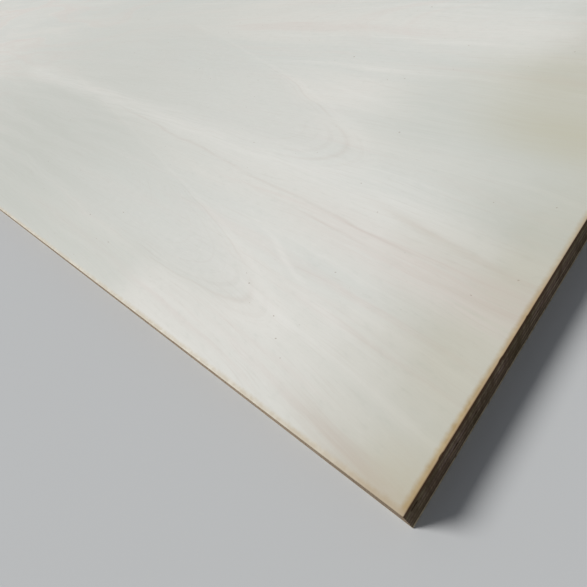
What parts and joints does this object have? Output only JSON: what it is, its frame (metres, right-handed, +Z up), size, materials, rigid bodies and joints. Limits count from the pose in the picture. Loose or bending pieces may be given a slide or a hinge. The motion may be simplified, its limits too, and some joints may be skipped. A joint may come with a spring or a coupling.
{
  "type": "plywood sheet",
  "caption": "Flat rectangular plywood sheet with a pale sanded face, a darker cross-laid veneer core and square sawn edges.",
  "frame": {"origin": "middle of the underside of the sheet, on the surface that it lies on", "axes": "+X along the length and the face grain, +Y across the width, +Z up through the thickness to the face"},
  "size_m": [2.44, 1.22, 0.018],
  "materials": {
    "face_veneer": "pale off-white peeled veneer, sanded, with faint pink and tan bands along the grain",
    "crossband": "medium brown peeled veneer, grain across the sheet, rough sawn edge",
    "center_ply": "light brown peeled veneer, grain along the sheet, rough sawn edge",
    "back_veneer": "pale cream peeled veneer, sanded"
  },
  "bodies": {
    "root": {"face_veneer": "face_veneer", "crossband_1": "crossband", "center_ply_1": "center_ply", "crossband_2": "crossband", "center_ply_2": "center_ply", "crossband_3": "crossband", "center_ply_3": "center_ply", "crossband_4": "crossband", "center_ply_4": "center_ply", "crossband_5": "crossband", "center_ply_5": "center_ply", "crossband_6": "crossband", "back_veneer": "back_veneer"}
  },
  "joints": []
}
